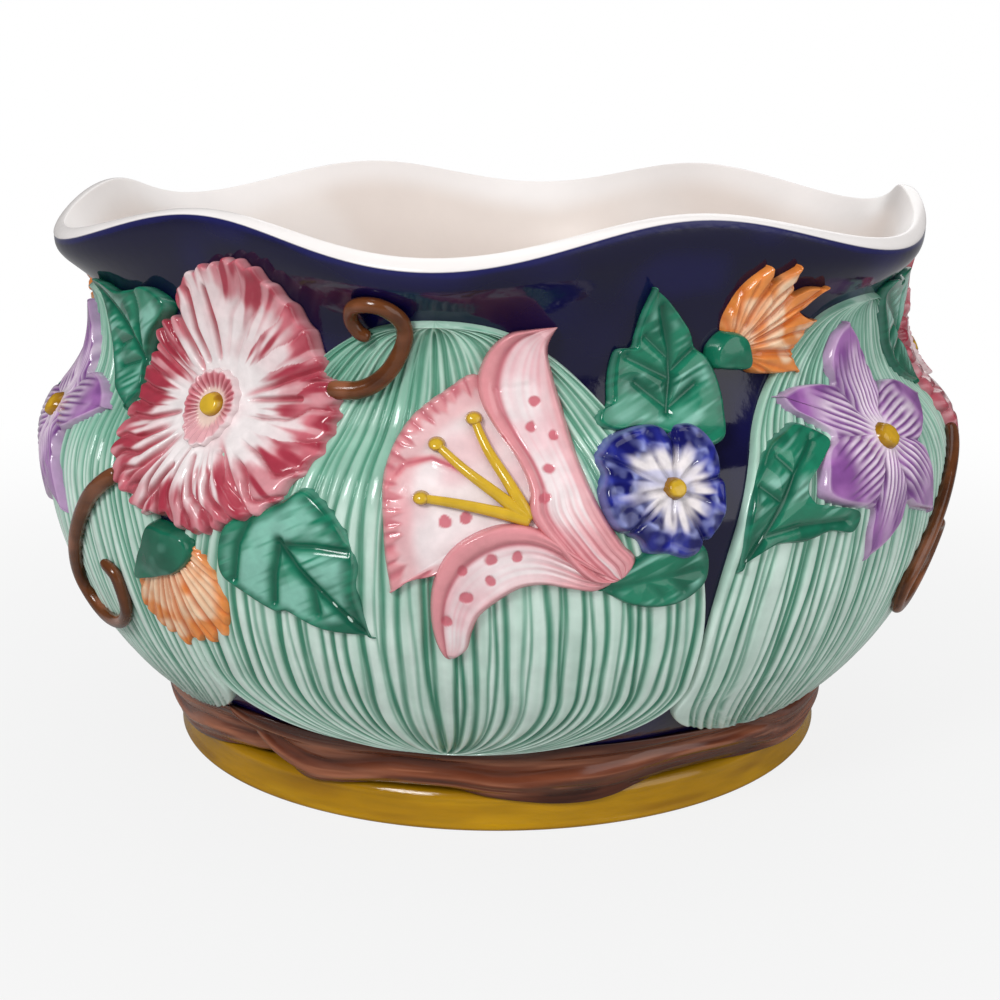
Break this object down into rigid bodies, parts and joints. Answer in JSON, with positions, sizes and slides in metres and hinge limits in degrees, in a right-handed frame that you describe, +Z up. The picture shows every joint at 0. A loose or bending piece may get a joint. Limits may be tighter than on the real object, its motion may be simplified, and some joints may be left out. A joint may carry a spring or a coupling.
{
  "type": "bowl planter",
  "caption": "Round ceramic bowl planter on a foot ring, with a waved lip, pleated fan-leaf panels and applied relief flowers and leaves; holds a potted plant.",
  "frame": {"origin": "on the bowl's axis, at the level of the foot ring's resting face", "axes": "+Z up along the bowl's axis, -Y towards the viewer of the picture, +X to the viewer's right"},
  "size_m": [0.3038, 0.3056, 0.179],
  "materials": {
    "cobalt_glaze": "gloss",
    "ochre_glaze": "gloss",
    "mint_glaze": "gloss",
    "bark_glaze": "gloss",
    "rose_glaze": "gloss",
    "blush_glaze": "gloss",
    "blue_glaze": "gloss",
    "violet_glaze": "gloss",
    "orange_glaze": "gloss",
    "leaf_glaze": "gloss"
  },
  "bodies": {
    "root": {"bowl_body": "cobalt_glaze", "foot_ring": "ochre_glaze", "fan_leaf_1": "mint_glaze", "fan_leaf_2": "mint_glaze", "fan_leaf_3": "mint_glaze", "fan_leaf_4": "mint_glaze", "fan_leaf_5": "mint_glaze", "fan_leaf_6": "mint_glaze", "bark_branch_1": "bark_glaze", "bark_branch_2": "bark_glaze", "bark_branch_3": "bark_glaze", "mallow_flower_1": "rose_glaze", "mallow_flower_2": "rose_glaze", "mallow_flower_3": "rose_glaze", "lily_flower_1": "blush_glaze", "lily_flower_2": "blush_glaze", "lily_flower_3": "blush_glaze", "morning_glory_1": "blue_glaze", "morning_glory_2": "blue_glaze", "morning_glory_3": "blue_glaze", "clematis_flower_1": "violet_glaze", "clematis_flower_2": "violet_glaze", "clematis_flower_3": "violet_glaze", "top_bud_1": "orange_glaze", "top_bud_2": "orange_glaze", "top_bud_3": "orange_glaze", "low_bud_1": "orange_glaze", "low_bud_2": "orange_glaze", "low_bud_3": "orange_glaze", "upper_tendril_1": "bark_glaze", "upper_tendril_2": "bark_glaze", "upper_tendril_3": "bark_glaze", "lower_tendril_1": "bark_glaze", "lower_tendril_2": "bark_glaze", "lower_tendril_3": "bark_glaze", "heart_leaf_1": "leaf_glaze", "heart_leaf_2": "leaf_glaze", "heart_leaf_3": "leaf_glaze", "back_leaf_1": "leaf_glaze", "back_leaf_2": "leaf_glaze", "back_leaf_3": "leaf_glaze", "ivy_leaf_1": "leaf_glaze", "ivy_leaf_2": "leaf_glaze", "ivy_leaf_3": "leaf_glaze", "lily_leaf_1": "leaf_glaze", "lily_leaf_2": "leaf_glaze", "lily_leaf_3": "leaf_glaze", "clematis_leaf_1": "leaf_glaze", "clematis_leaf_2": "leaf_glaze", "clematis_leaf_3": "leaf_glaze"}
  },
  "joints": []
}
